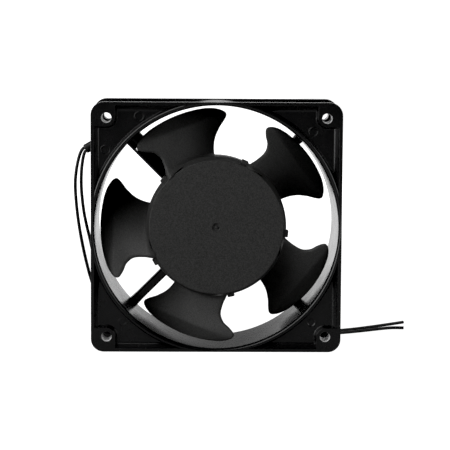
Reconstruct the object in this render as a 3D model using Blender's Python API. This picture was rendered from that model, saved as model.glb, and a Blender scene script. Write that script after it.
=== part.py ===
"""Mains-voltage axial fan in a square die-cast frame, modelled at rest as separate solids.

Metres, +Z up. The fan stands on its lower edge with its axis along Y at half its height, its
inlet (front) faces -Y, and the origin is under the middle of the frame. Sizes below are in
millimetres: a depth is measured back from the front face, and a radius from the fan axis.
"""

import math

import bmesh
import bpy
from mathutils import Matrix, Vector

MM = 0.001

# Frame casting
SIDE = 120.0
DEPTH = 38.0
FLANGE = 4.5
CORNER_RADIUS = 6.2
HOLE_PITCH = 105.0
HOLE_RADIUS = 2.25
HOLE_CHAMFER = 0.45
SCREW_BOSS_RADIUS = 4.2
SCREW_BOSS_DEPTH = 11.0
RIM_WIDTH = 1.75
SLOPE_WIDTH = 2.45
POCKET_LIP = 0.4
POCKET_DEPTH = 2.5
PAD_RADIUS = 4.2
LIP_RADIUS = 61.3
DUCT_OUTER = 59.7
BORE_FRONT = 58.4
BORE_REAR = 57.5
MOUTH_RADIUS = 59.4
MOUTH_DEPTH = 1.3
STRUT_FRONT = 31.5
STRUT_WIDTH = 4.4
STRUT_INNER = 31.8
STRUT_OUTER = 58.6
LEAD_STRUT_ANGLE = 135.0
LEAD_STRUT_WIDTH = 8.4
CHANNEL_WIDTH = 6.0
CHANNEL_FLOOR = 36.0
CHANNEL_INNER = 29.5
CHANNEL_OUTER = 60.6
WALL_SLOT_FRONT = 28.6
MOUNT_RADIUS = 32.5
MOUNT_FRONT = 30.5
MOUNT_WALL = 1.5
MOUNT_PLATE = 35.2
BOSS_RADIUS = 12.0
BOSS_FRONT = 31.0
CAP_HOLE = 6.5
LABEL_RECESS = 0.8
LABEL_RADIUS = 28.0
STRUT_REAR = 37.8
CAP_SEAT = 35.6
DRAIN_INNER = 51.5
DRAIN_OUTER = 52.7
DRAIN_WIDTH = 2.6
DRAIN_SHIFT = 1.7

# Impeller
HUB_FACE_RADIUS = 32.3
HUB_FRONT = 3.0
HUB_STEP = 4.8
SKIRT_RADIUS = 33.8
SKIRT_REAR_RADIUS = 32.9
HUB_REAR = 27.5
HUB_INNER = 31.3
HUB_PLATE = 5.0
BLADES = 5
BLADE_PITCH = 0.53
BLADE_LEAD = -1.2
ROOT_THICKNESS = 2.4
TIP_THICKNESS = 1.7
# Radius, then the angles of the leading and trailing edges in degrees, clockwise from the front.
BLADE_EDGES = (
    (32.0, 8.2, 52.0),
    (36.0, 11.6, 52.0),
    (40.0, 14.2, 52.7),
    (43.5, 14.9, 54.2),
    (47.0, 13.1, 56.2),
    (50.5, 9.3, 58.9),
    (53.2, 8.4, 59.3),
    (54.9, 10.2, 56.6),
    (56.1, 16.0, 51.0),
)
BLADE_CHORD = (0.0, 0.04, 0.25, 0.5, 0.75, 0.96, 1.0)
TAB_RADIUS = 34.8
TAB_ANGLE = 5.6
TAB_WIDTH = 3.4
TAB_FRONT = 6.0
TAB_REAR = 10.0
DIMPLE_RADIUS = 2.0
DIMPLE_FLOOR = 3.9
NUB_RADIUS = 0.65
NUB_FRONT = 3.2

# Rotor and bearings
SHAFT_RADIUS = 2.5
PRESS_GAP = 0.15
CUP_OUTER = 31.0
CUP_WALL = 1.0
CUP_FRONT = 5.3
CUP_REAR = 26.8
CUP_HOLE = 3.9
BUSH_NECK = 3.6
BUSH_RADIUS = 6.5
BUSH_FRONT = 5.5
BUSH_STEP = 6.6
BUSH_REAR = 9.4
RING_INNER = 24.6
RING_OUTER = 29.6
END_RING_INNER = 25.2
END_RING_OUTER = 29.4
END_RING_LENGTH = 1.3
SHAFT_REAR = 34.9
GROOVE_RADIUS = 1.9
GROOVE_FRONT = 33.4
GROOVE_REAR = 34.2
CLIP_INNER = 2.05
CLIP_OUTER = 4.0
CLIP_OPENING = 40
STACK_FRONT = 11.0
STACK_REAR = 24.0
BEARING_LENGTH = 5.0
BEARING_RADIUS = 7.0
FRONT_BEARING = 10.6
REAR_BEARING = 28.0
BALLS = 7
BALL_RADIUS = 1.2
BALL_PITCH = 4.75
TUBE_BORE = 7.2
TUBE_RADIUS = 9.0
TUBE_FRONT = 9.8
TUBE_REAR = 35.3
TUBE_SHOULDER = 5.8
SHOULDER_FRONT = 18.0
SHOULDER_REAR = 27.8

# Stator
POLES = 4
POLE_RADIUS = 24.2
SHOE_INNER = 21.6
SHOE_HALF_ANGLE = 36.0
NECK_HALF_WIDTH = 3.5
CORE_RADIUS = 13.0
SLOT_ANGLE = 17.0
SLOT_WIDTH = 1.6
SLOT_FLOOR = 22.0

# Leads
WIRE_DIAMETER = 1.6
SLEEVE_TALL = 4.6
SLEEVE_THICK = 3.0
SLEEVE_WALL = 0.42
WIRE_SPREAD = 0.86
# Height of a lead's middle where it lies on the surface.
WIRE_REST = 0.82
# Route points of the sleeved leads: right of the axis, depth, above the axis.
INNER_ROUTE = (
    (-11.8, 28.0, 11.8),
    (-15.0, 30.4, 15.0),
    (-20.5, 32.6, 20.5),
    (-25.0, 33.4, 25.0),
    (-31.0, 33.6, 31.0),
    (-36.5, 33.5, 36.5),
)
SLEEVE_ROUTE = (
    (-36.9, 33.5, 36.9),
    (-40.3, 33.0, 40.2),
    (-43.6, 31.4, 42.6),
    (-48.0, 30.2, 43.0),
    (-53.0, 30.0, 41.2),
    (-58.8, 30.0, 38.2),
    (-64.0, 30.0, 35.3),
)
# Route points of the free leads, in world millimetres, from the side of the frame.
LEAD_ROUTES = {
    "lead_wire_a": (
        (-59.5, 11.0, 98.8),
        (-61.86, 11.0, 97.49),
        (-64.75, 11.0, 95.85),
        (-66.2, 11.2, 94.0),
        (-67.4, 11.6, 90.4),
        (-68.4, 12.0, 85.6),
        (-69.0, 12.6, 80.4),
        (-69.1, 13.2, 75.6),
        (-68.7, 14.2, 68.4),
        (-67.9, 15.4, 60.4),
        (-66.8, 16.8, 52.6),
        (-65.3, 18.4, 44.2),
        (-63.6, 20.2, 36.2),
        (-61.8, 22.2, 29.0),
        (-58.5, 24.3, 19.5),
        (-53.5, 25.6, 11.0),
        (-46.5, 26.5, 4.8),
        (-38.0, 26.8, 1.5),
        (-28.0, 26.4, WIRE_REST),
        (-14.0, 25.0, WIRE_REST),
        (0.0, 23.6, WIRE_REST),
        (20.0, 25.2, WIRE_REST),
        (40.0, 30.0, WIRE_REST),
        (52.0, 34.2, WIRE_REST),
        (64.7, 40.2, WIRE_REST),
        (75.0, 46.6, WIRE_REST),
        (87.8, 56.6, WIRE_REST),
        (99.2, 66.4, WIRE_REST),
    ),
    "lead_wire_b": (
        (-58.72, 11.0, 97.28),
        (-61.02, 11.0, 95.99),
        (-63.9, 11.0, 94.35),
        (-64.9, 11.4, 92.0),
        (-65.6, 11.8, 88.2),
        (-66.0, 12.2, 84.4),
        (-66.2, 12.8, 79.6),
        (-66.1, 13.6, 74.8),
        (-65.6, 14.6, 68.6),
        (-64.8, 15.8, 62.4),
        (-63.6, 17.4, 56.0),
        (-62.3, 19.4, 50.0),
        (-60.7, 21.2, 42.0),
        (-58.2, 22.4, 32.0),
        (-55.0, 23.1, 22.5),
        (-50.0, 23.6, 13.5),
        (-43.0, 23.7, 6.2),
        (-35.0, 23.5, 2.2),
        (-26.0, 23.1, WIRE_REST),
        (-13.0, 22.1, WIRE_REST),
        (0.0, 21.5, WIRE_REST),
        (20.0, 22.4, WIRE_REST),
        (40.0, 25.5, WIRE_REST),
        (52.0, 28.5, WIRE_REST),
        (64.2, 32.9, WIRE_REST),
        (74.3, 38.3, WIRE_REST),
        (86.9, 46.4, WIRE_REST),
        (92.3, 48.6, WIRE_REST),
        (97.7, 48.4, WIRE_REST),
    ),
}
LEAD_POINTS = 120

ROUND_STEPS = 72
HUB_STEPS = 60
MEDIUM_STEPS = 36
SMALL_STEPS = 20


def point(x, depth, z):
    """A place right of the axis, behind the front face and above the axis, in axis coordinates."""
    return Vector((x, depth - DEPTH / 2, z)) * MM


def clear_scene():
    for obj in list(bpy.data.objects):
        bpy.data.objects.remove(obj, do_unlink=True)


def make_material(name, color, roughness, metallic=0.0):
    material = bpy.data.materials.new(name)
    material.use_nodes = True
    shader = material.node_tree.nodes["Principled BSDF"]
    shader.inputs["Base Color"].default_value = (*color, 1.0)
    shader.inputs["Roughness"].default_value = roughness
    shader.inputs["Metallic"].default_value = metallic
    return material


def make_datum(name):
    """An empty on the fan axis, which the pieces of one body hang from."""
    datum = bpy.data.objects.new(name, None)
    datum.location = (0.0, 0.0, SIDE / 2 * MM)
    bpy.context.collection.objects.link(datum)
    return datum


def add_object(name, bm, material, datum):
    mesh = bpy.data.meshes.new(name)
    bm.to_mesh(mesh)
    bm.free()
    mesh.shade_smooth()
    mesh.set_sharp_from_angle(angle=math.radians(32))
    mesh.materials.append(material)
    obj = bpy.data.objects.new(name, mesh)
    bpy.context.collection.objects.link(obj)
    obj.parent = datum
    return obj


def add_tool(name, bm, material, datum):
    """A helper solid that Booleans read and renders leave out."""
    tool = add_object(name, bm, material, datum)
    tool.hide_render = True
    tool.display_type = "WIRE"
    return tool


def boolean(obj, tool, operation):
    modifier = obj.modifiers.new(tool.name, "BOOLEAN")
    modifier.operation = operation
    modifier.solver = "EXACT"
    modifier.object = tool


def skin(bm, rings, closed=False):
    """Joins a row of rings with quads, and caps the two ends of a row that isn't closed."""
    rows = [[bm.verts.new(place) for place in ring] for ring in rings]
    pairs = list(zip(rows, rows[1:]))
    faces = []
    if closed:
        pairs.append((rows[-1], rows[0]))
    else:
        faces += [bm.faces.new(rows[0]), bm.faces.new(rows[-1])]
    for low, high in pairs:
        for i in range(len(low)):
            j = (i + 1) % len(low)
            faces.append(bm.faces.new((low[i], low[j], high[j], high[i])))
    bmesh.ops.recalc_face_normals(bm, faces=faces)


def circle(radius, depth, steps, center=(0.0, 0.0)):
    turns = [2 * math.pi * i / steps for i in range(steps)]
    return [point(center[0] + radius * math.cos(a), depth, center[1] + radius * math.sin(a)) for a in turns]


def turn(bm, profile, steps, closed=True, center=(0.0, 0.0)):
    """Turns (radius, depth) points about the fan axis, or about an axis parallel to it."""
    skin(bm, [circle(radius, depth, steps, center) for radius, depth in profile], closed)


def turned(name, profile, steps, material, datum, closed=True):
    bm = bmesh.new()
    turn(bm, profile, steps, closed)
    return add_object(name, bm, material, datum)


def extrude(bm, outline, front, rear):
    """Runs an (x, z) outline from one depth to another."""
    skin(bm, [[point(x, depth, z) for x, z in outline] for depth in (front, rear)])


def arc(center, radius, start, end, steps):
    """Points on an arc between two angles in degrees, both ends included."""
    angles = [math.radians(start + (end - start) * i / steps) for i in range(steps + 1)]
    return [(center[0] + radius * math.cos(a), center[1] + radius * math.sin(a)) for a in angles]


def rounded_rectangle(width, height, radius, steps):
    x, z = width / 2 - radius, height / 2 - radius
    corners = ((x, z, 0), (-x, z, 90), (-x, -z, 180), (x, -z, 270))
    return [p for cx, cz, start in corners for p in arc((cx, cz), radius, start, start + 90, steps)]


def turned_outline(outline, degrees):
    """The (x, z) outline turned about the fan axis."""
    c, s = math.cos(math.radians(degrees)), math.sin(math.radians(degrees))
    return [(x * c - z * s, x * s + z * c) for x, z in outline]


def radial_box(bm, inner, outer, width, front, rear, degrees, shift=0.0):
    """A bar that runs out from the axis at an angle."""
    low, high = shift - width / 2, shift + width / 2
    outline = turned_outline([(inner, low), (outer, low), (outer, high), (inner, high)], degrees)
    extrude(bm, outline, front, rear)


def smooth_route(route, count):
    """Evenly spaced points on a Catmull-Rom curve through the route."""
    knots = [Vector(p) for p in route]
    knots = [2 * knots[0] - knots[1], *knots, 2 * knots[-1] - knots[-2]]
    fine = []
    for a, b, c, d in zip(knots, knots[1:], knots[2:], knots[3:]):
        for i in range(20):
            t = i / 20
            bend, twist = 2 * a - 5 * b + 4 * c - d, 3 * b - a - 3 * c + d
            fine.append(0.5 * (2 * b + (c - a) * t + bend * t**2 + twist * t**3))
    fine.append(knots[-2])
    reached = [0.0]
    for a, b in zip(fine, fine[1:]):
        reached.append(reached[-1] + (b - a).length)
    points, j = [], 0
    for i in range(count):
        wanted = reached[-1] * i / (count - 1)
        while j < len(fine) - 2 and reached[j + 1] < wanted:
            j += 1
        share = (wanted - reached[j]) / (reached[j + 1] - reached[j])
        points.append(fine[j].lerp(fine[j + 1], share))
    return points


# ---------------------------------------------------------------- frame casting


def pocket_outline(inset, pad_radius, lip_radius):
    """Upper right corner pocket: two sides, the round pad of the screw hole and the duct's lip."""
    edge = SIDE / 2 - inset
    hole = HOLE_PITCH / 2
    reach = math.sqrt(lip_radius**2 - edge**2)
    lip_start = math.degrees(math.atan2(edge, reach))
    pad = arc((hole, hole), pad_radius, 270, 180, 6)
    lip = arc((0, 0), lip_radius, lip_start, 90 - lip_start, 10)
    return [(edge, hole - pad_radius), *pad, (hole - pad_radius, edge), *lip]


def pocket_tools(bm):
    """Four tapered pockets in the front flange and four in the rear one."""
    rim = pocket_outline(RIM_WIDTH, PAD_RADIUS, LIP_RADIUS)
    floor = pocket_outline(RIM_WIDTH + SLOPE_WIDTH, PAD_RADIUS + 1.3, LIP_RADIUS + 0.3)
    sections = ((-1.0, rim), (POCKET_LIP, rim), (POCKET_DEPTH, floor))
    for side_x in (-1, 1):
        for side_z in (-1, 1):
            for rear in (False, True):
                rings = []
                for depth, outline in sections:
                    at = DEPTH - depth if rear else depth
                    rings.append([point(side_x * x, at, side_z * z) for x, z in outline])
                skin(bm, rings)


def screw_bosses(bm):
    """A round boss behind each flange at each screw hole, which reaches towards the other flange."""
    half = HOLE_PITCH / 2
    for x in (-half, half):
        for z in (-half, half):
            for front, rear in ((1.0, SCREW_BOSS_DEPTH), (DEPTH - SCREW_BOSS_DEPTH, DEPTH - 1.0)):
                ends = ((SCREW_BOSS_RADIUS, front), (SCREW_BOSS_RADIUS, rear))
                turn(bm, ends, SMALL_STEPS, closed=False, center=(x, z))


def hole_tools(bm):
    half = HOLE_PITCH / 2
    over = 1.0
    wide = HOLE_RADIUS + HOLE_CHAMFER + over
    profile = (
        (wide, -over),
        (HOLE_RADIUS, HOLE_CHAMFER),
        (HOLE_RADIUS, DEPTH - HOLE_CHAMFER),
        (wide, DEPTH + over),
    )
    for x in (-half, half):
        for z in (-half, half):
            turn(bm, profile, SMALL_STEPS, closed=False, center=(x, z))


def channel_tools(bm):
    """The lead channel along the wide strut and its way out through the duct."""
    angle = LEAD_STRUT_ANGLE
    radial_box(bm, CHANNEL_INNER, CHANNEL_OUTER, CHANNEL_WIDTH, WALL_SLOT_FRONT, CHANNEL_FLOOR, angle)


def drain_tool(bm):
    """A small drain slot through the channel's floor, beside the leads."""
    front, rear = CHANNEL_FLOOR - 1, DEPTH + 1
    radial_box(bm, DRAIN_INNER, DRAIN_OUTER, DRAIN_WIDTH, front, rear, LEAD_STRUT_ANGLE, DRAIN_SHIFT)


def make_frame_casting(material, datum):
    bm = bmesh.new()
    outline = rounded_rectangle(SIDE, SIDE, CORNER_RADIUS, 6)
    extrude(bm, outline, 0.0, FLANGE)
    extrude(bm, outline, DEPTH - FLANGE, DEPTH)
    frame = add_object("frame_casting", bm, material, datum)

    bm = bmesh.new()
    turn(bm, ((DUCT_OUTER, 1.0), (DUCT_OUTER, DEPTH - 1.0)), ROUND_STEPS, closed=False)
    screw_bosses(bm)
    boolean(frame, add_tool("tool_barrel", bm, material, datum), "UNION")

    bm = bmesh.new()
    bore = (
        (MOUTH_RADIUS, -1.0),
        (MOUTH_RADIUS, 0.3),
        (BORE_FRONT + 0.25, 0.75),
        (BORE_FRONT, MOUTH_DEPTH),
        (BORE_REAR, DEPTH + 1.0),
    )
    turn(bm, bore, ROUND_STEPS, closed=False)
    boolean(frame, add_tool("tool_bore", bm, material, datum), "DIFFERENCE")

    bm = bmesh.new()
    for angle in (45, 225, 315):
        radial_box(bm, STRUT_INNER, STRUT_OUTER, STRUT_WIDTH, STRUT_FRONT, STRUT_REAR, angle)
    radial_box(bm, STRUT_INNER, STRUT_OUTER, LEAD_STRUT_WIDTH, STRUT_FRONT, STRUT_REAR, LEAD_STRUT_ANGLE)
    boolean(frame, add_tool("tool_struts", bm, material, datum), "UNION")

    bm = bmesh.new()
    inner = MOUNT_RADIUS - MOUNT_WALL
    recess = DEPTH - LABEL_RECESS
    mount = (
        (MOUNT_RADIUS, MOUNT_FRONT),
        (MOUNT_RADIUS, DEPTH),
        (LABEL_RADIUS + 0.6, DEPTH),
        (LABEL_RADIUS + 0.6, recess),
        (CAP_HOLE, recess),
        (CAP_HOLE, CAP_SEAT),
        (TUBE_RADIUS + PRESS_GAP, CAP_SEAT),
        (TUBE_RADIUS + PRESS_GAP, BOSS_FRONT),
        (BOSS_RADIUS, BOSS_FRONT),
        (BOSS_RADIUS, MOUNT_PLATE),
        (inner, MOUNT_PLATE),
        (inner, MOUNT_FRONT),
    )
    turn(bm, mount, MEDIUM_STEPS)
    boolean(frame, add_tool("tool_mount", bm, material, datum), "UNION")

    for name, shape in (
        ("tool_pockets", pocket_tools),
        ("tool_holes", hole_tools),
        ("tool_channel", channel_tools),
        ("tool_drain", drain_tool),
    ):
        bm = bmesh.new()
        shape(bm)
        boolean(frame, add_tool(name, bm, material, datum), "DIFFERENCE")


# ---------------------------------------------------------------- impeller


def blade_ring(radius, leading, trailing):
    """Points round one section of a blade: along its front skin, then back along its rear one."""
    share = (radius - BLADE_EDGES[0][0]) / (BLADE_EDGES[-1][0] - BLADE_EDGES[0][0])
    half = (ROOT_THICKNESS + (TIP_THICKNESS - ROOT_THICKNESS) * share) / 2
    rise = math.atan2(BLADE_PITCH * 180 / math.pi, radius)
    front, rear = [], []
    for s in BLADE_CHORD:
        degrees = leading + (trailing - leading) * s
        thick = half * math.sqrt(max(0.0, 1 - abs(2 * s - 1) ** 8))
        for skin_points, sign in ((front, -1), (rear, 1)):
            along = math.radians(degrees) - sign * thick * math.sin(rise) / radius
            depth = BLADE_LEAD + BLADE_PITCH * degrees + sign * thick * math.cos(rise)
            skin_points.append(point(radius * math.cos(along), depth, -radius * math.sin(along)))
    return front + rear[-2:0:-1]


def blade(bm, degrees):
    """One blade, closed at its root and tip by strips across its thickness."""
    spin = Matrix.Rotation(-math.radians(degrees), 3, "Y")
    rows = [[bm.verts.new(spin @ p) for p in blade_ring(*edges)] for edges in BLADE_EDGES]
    count = len(rows[0])
    last = len(BLADE_CHORD) - 1
    faces = []
    for low, high in zip(rows, rows[1:]):
        for i in range(count):
            j = (i + 1) % count
            faces.append(bm.faces.new((low[i], low[j], high[j], high[i])))
    for row in (rows[0], rows[-1]):
        for i in range(last):
            corners = [row[i], row[i + 1], row[(count - i - 1) % count], row[(count - i) % count]]
            faces.append(bm.faces.new(list(dict.fromkeys(corners))))
    bmesh.ops.recalc_face_normals(bm, faces=faces)


def make_impeller(material, datum):
    hub = (
        (NUB_RADIUS, NUB_FRONT),
        (NUB_RADIUS, DIMPLE_FLOOR),
        (DIMPLE_RADIUS, DIMPLE_FLOOR),
        (DIMPLE_RADIUS, HUB_FRONT),
        (HUB_FACE_RADIUS - 0.5, HUB_FRONT),
        (HUB_FACE_RADIUS, HUB_FRONT + 0.5),
        (HUB_FACE_RADIUS, HUB_STEP),
        (SKIRT_RADIUS - 0.3, HUB_STEP),
        (SKIRT_RADIUS, HUB_STEP + 0.3),
        (SKIRT_REAR_RADIUS, HUB_REAR),
        (HUB_INNER, HUB_REAR),
        (HUB_INNER, HUB_PLATE),
        (DIMPLE_RADIUS, HUB_PLATE),
    )
    impeller = turned("impeller", hub, HUB_STEPS, material, datum, closed=False)
    bm = bmesh.new()
    for k in range(BLADES):
        blade(bm, 360 / BLADES * k)
    boolean(impeller, add_tool("tool_blades", bm, material, datum), "UNION")
    bm = bmesh.new()
    for k in range(BLADES):
        angle = 360 / BLADES * k - TAB_ANGLE
        radial_box(bm, HUB_INNER + 1, TAB_RADIUS, TAB_WIDTH, TAB_FRONT, TAB_REAR, angle)
    boolean(impeller, add_tool("tool_tabs", bm, material, datum), "UNION")


# ---------------------------------------------------------------- rotor


def make_rotor(steel, laminated, cast, datum):
    inner = CUP_OUTER - CUP_WALL
    cup = (
        (CUP_HOLE, CUP_FRONT),
        (CUP_OUTER - 0.6, CUP_FRONT),
        (CUP_OUTER, CUP_FRONT + 0.6),
        (CUP_OUTER, CUP_REAR),
        (inner, CUP_REAR),
        (inner, CUP_FRONT + CUP_WALL),
        (CUP_HOLE, CUP_FRONT + CUP_WALL),
    )
    turned("rotor_cup", cup, MEDIUM_STEPS, steel, datum)
    bush = (
        (SHAFT_RADIUS + PRESS_GAP, BUSH_FRONT),
        (BUSH_NECK, BUSH_FRONT),
        (BUSH_NECK, BUSH_STEP),
        (BUSH_RADIUS, BUSH_STEP),
        (BUSH_RADIUS, BUSH_REAR),
        (SHAFT_RADIUS + PRESS_GAP, BUSH_REAR),
    )
    turned("rotor_bush", bush, SMALL_STEPS, cast, datum)
    front, rear = STACK_FRONT - 1, STACK_REAR + 1
    ring = ((RING_INNER, front), (RING_OUTER, front), (RING_OUTER, rear), (RING_INNER, rear))
    turned("rotor_laminations", ring, MEDIUM_STEPS, laminated, datum)
    inner, outer = END_RING_INNER, END_RING_OUTER
    front -= 0.3 + END_RING_LENGTH
    rear += 0.3
    for name, low in (("rotor_front_end_ring", front), ("rotor_rear_end_ring", rear)):
        high = low + END_RING_LENGTH
        turned(name, ((inner, low), (outer, low), (outer, high), (inner, high)), MEDIUM_STEPS, cast, datum)
    shaft = (
        (SHAFT_RADIUS - 0.3, BUSH_FRONT),
        (SHAFT_RADIUS, BUSH_FRONT + 0.3),
        (SHAFT_RADIUS, GROOVE_FRONT),
        (GROOVE_RADIUS, GROOVE_FRONT),
        (GROOVE_RADIUS, GROOVE_REAR),
        (SHAFT_RADIUS, GROOVE_REAR),
        (SHAFT_RADIUS, SHAFT_REAR - 0.3),
        (SHAFT_RADIUS - 0.3, SHAFT_REAR),
    )
    turned("shaft", shaft, SMALL_STEPS, steel, datum, closed=False)
    inner, outer = SHAFT_RADIUS + 0.2, 4.0
    front, rear = BUSH_REAR + 0.25, FRONT_BEARING - 0.3
    washer = ((inner, front), (outer, front), (outer, rear), (inner, rear))
    turned("thrust_washer", washer, SMALL_STEPS, cast, datum)
    make_shaft_clip(steel, datum)


def make_shaft_clip(material, datum):
    """Open spring clip in the groove at the shaft's rear end."""
    inner = arc((0, 0), CLIP_INNER, CLIP_OPENING, 360 - CLIP_OPENING, 14)
    outer = arc((0, 0), CLIP_OUTER, 360 - CLIP_OPENING, CLIP_OPENING, 14)
    bm = bmesh.new()
    extrude(bm, inner + outer, GROOVE_FRONT + 0.15, GROOVE_REAR - 0.15)
    add_object("shaft_clip", bm, material, datum)


def race_profile(back, face, groove, front):
    """A bearing race: its plain side, its running side and the depth of the groove in that."""
    rear = front + BEARING_LENGTH
    middle = (front + rear) / 2
    return (
        (back, front),
        (face, front),
        (face, middle - 1.2),
        (groove, middle),
        (face, middle + 1.2),
        (face, rear),
        (back, rear),
    )


def make_ball_set(name, front, material, datum):
    """The balls of one bearing, joined by the cage that spaces them."""
    middle = front + BEARING_LENGTH / 2
    inner, outer = BALL_PITCH - 0.4, BALL_PITCH + 0.4
    cage = ((inner, middle - 0.6), (outer, middle - 0.6), (outer, middle + 0.6), (inner, middle + 0.6))
    ball_set = turned(name, cage, SMALL_STEPS, material, datum)
    bm = bmesh.new()
    for k in range(BALLS):
        turn_angle = 2 * math.pi * k / BALLS
        place = point(BALL_PITCH * math.cos(turn_angle), middle, BALL_PITCH * math.sin(turn_angle))
        matrix = Matrix.Translation(place)
        bmesh.ops.create_icosphere(bm, subdivisions=1, radius=BALL_RADIUS * MM, matrix=matrix)
    boolean(ball_set, add_tool("tool_" + name, bm, material, datum), "UNION")


def make_bearings(material, stator, rotor, front_balls, rear_balls):
    for side, front, balls in (("front", FRONT_BEARING, front_balls), ("rear", REAR_BEARING, rear_balls)):
        inner = race_profile(SHAFT_RADIUS + PRESS_GAP, BALL_PITCH - 0.85, BALL_PITCH - 1.45, front)
        outer = race_profile(BEARING_RADIUS, BALL_PITCH + 0.85, BALL_PITCH + 1.45, front)
        turned(side + "_inner_race", inner, SMALL_STEPS, material, rotor)
        turned(side + "_outer_race", outer, SMALL_STEPS, material, stator)
        make_ball_set(side + "_ball_set", front, material, balls)


# ---------------------------------------------------------------- stator


def make_bearing_tube(material, datum):
    """Bearing tube with an inner shoulder between the two bearings."""
    tube = (
        (TUBE_RADIUS, TUBE_FRONT),
        (TUBE_RADIUS, TUBE_REAR),
        (TUBE_BORE, TUBE_REAR),
        (TUBE_BORE, SHOULDER_REAR),
        (TUBE_SHOULDER, SHOULDER_REAR),
        (TUBE_SHOULDER, SHOULDER_FRONT),
        (TUBE_BORE, SHOULDER_FRONT),
        (TUBE_BORE, TUBE_FRONT),
    )
    turned("bearing_tube", tube, MEDIUM_STEPS, material, datum)


def pole_outline():
    """The four salient poles round the core, each with a slot in its face for a shading ring."""
    outline = []
    root = math.degrees(math.asin(NECK_HALF_WIDTH / CORE_RADIUS))
    under = math.degrees(math.asin(NECK_HALF_WIDTH / SHOE_INNER))
    half_slot = math.degrees(SLOT_WIDTH / 2 / POLE_RADIUS)
    for k in range(POLES):
        pole = arc((0, 0), SHOE_INNER, -under, -SHOE_HALF_ANGLE, 4)
        pole += arc((0, 0), POLE_RADIUS, -SHOE_HALF_ANGLE, SLOT_ANGLE - half_slot, 8)
        pole += arc((0, 0), SLOT_FLOOR, SLOT_ANGLE - half_slot, SLOT_ANGLE + half_slot, 1)
        pole += arc((0, 0), POLE_RADIUS, SLOT_ANGLE + half_slot, SHOE_HALF_ANGLE, 3)
        pole += arc((0, 0), SHOE_INNER, SHOE_HALF_ANGLE, under, 4)
        pole += arc((0, 0), CORE_RADIUS, root, 90 - root, 4)
        outline += turned_outline(pole, 360 / POLES * k)
    return outline


def make_stator_core(material, datum):
    bm = bmesh.new()
    extrude(bm, pole_outline(), STACK_FRONT, STACK_REAR)
    core = add_object("stator_core", bm, material, datum)
    bm = bmesh.new()
    bore = TUBE_RADIUS + PRESS_GAP
    turn(bm, ((bore, STACK_FRONT - 1), (bore, STACK_REAR + 1)), MEDIUM_STEPS, closed=False)
    boolean(core, add_tool("tool_core_bore", bm, material, datum), "DIFFERENCE")


def spool_ring(reach, width, length, radius, degrees):
    """A rounded rectangle across a pole at a distance from the axis: tangential by axial size."""
    middle = (STACK_FRONT + STACK_REAR) / 2
    spin = Matrix.Rotation(-math.radians(degrees), 3, "Y")
    outline = rounded_rectangle(width, length, radius, 2)
    return [spin @ point(reach, middle + along, across) for across, along in outline]


def make_pole_pieces(plastic, copper, datum):
    """A bobbin, a coil and a copper shading ring for each pole."""
    neck = 2 * NECK_HALF_WIDTH + 0.5
    stack = STACK_REAR - STACK_FRONT + 0.5
    wall = 1.4
    for k in range(POLES):
        angle = 360 / POLES * k
        hole = (neck, stack, 0.2)
        spool = (neck + wall, stack + wall, 0.6)
        cheek = (13.2, stack + 7.6, 1.2)
        bobbin = (
            (13.6, hole), (13.6, cheek), (14.2, cheek), (14.2, spool),
            (19.4, spool), (19.4, cheek), (20.0, cheek), (20.0, hole),
        )
        bm = bmesh.new()
        skin(bm, [spool_ring(reach, *size, angle) for reach, size in bobbin], closed=True)
        add_object(f"bobbin_{k + 1}", bm, plastic, datum)

        inside = (neck + wall + 0.4, stack + wall + 0.4, 0.8)
        outside = (12.6, stack + 6.6, 1.8)
        coil = ((14.4, inside), (14.4, outside), (19.2, outside), (19.2, inside))
        bm = bmesh.new()
        skin(bm, [spool_ring(reach, *size, angle) for reach, size in coil], closed=True)
        add_object(f"coil_{k + 1}", bm, copper, datum)

        tilt = angle + SLOT_ANGLE + 12.1
        slim = (9.1, stack + 0.4, 0.2)
        wide = (11.1, stack + 2.4, 0.6)
        shading = ((22.3, slim), (22.3, wide), (23.3, wide), (23.3, slim))
        bm = bmesh.new()
        skin(bm, [spool_ring(reach, *size, tilt) for reach, size in shading], closed=True)
        add_object(f"shading_ring_{k + 1}", bm, copper, datum)


def make_wave_washer(material, datum):
    """Spring washer that preloads the front bearing: a ring with three waves."""
    bm = bmesh.new()
    inner, outer, thickness = 5.0, 6.8, 0.3
    middle, wave = 16.6, 0.5
    rings = []
    for radius, back in ((inner, 0), (outer, 0), (outer, thickness), (inner, thickness)):
        ring = []
        for i in range(MEDIUM_STEPS):
            a = 2 * math.pi * i / MEDIUM_STEPS
            depth = middle + wave * math.sin(3 * a) + back
            ring.append(point(radius * math.cos(a), depth, radius * math.sin(a)))
        rings.append(ring)
    skin(bm, rings, closed=True)
    add_object("preload_washer", bm, material, datum)


def make_rear_trim(plastic, paper, datum):
    cap = ((CAP_HOLE - 0.25, CAP_SEAT + 0.3), (CAP_HOLE - 0.25, CAP_SEAT + 1.3))
    turned("bearing_cap", cap, SMALL_STEPS, plastic, datum, closed=False)
    label = ((LABEL_RADIUS, DEPTH - 0.5), (LABEL_RADIUS, DEPTH - 0.15))
    turned("rear_label", label, MEDIUM_STEPS, paper, datum, closed=False)


# ---------------------------------------------------------------- leads


def sweep_frames(route, count):
    """Points of a route with, at each, an upward and a sideways direction across it."""
    places = [point(*p) for p in smooth_route(route, count)]
    frames = []
    for i, place in enumerate(places):
        along = (places[min(i + 1, count - 1)] - places[max(i - 1, 0)]).normalized()
        side = along.cross(Vector((0, 1, 0))).normalized()
        frames.append((place, side, along.cross(side).normalized()))
    return frames


def oval(place, tall, thick, height, width, steps=12):
    """An oval across a route: height along its tall direction and width along its thin one."""
    ring = []
    for i in range(steps):
        a = 2 * math.pi * i / steps
        ring.append(place + tall * (height / 2 * MM * math.cos(a)) + thick * (width / 2 * MM * math.sin(a)))
    return ring


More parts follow.
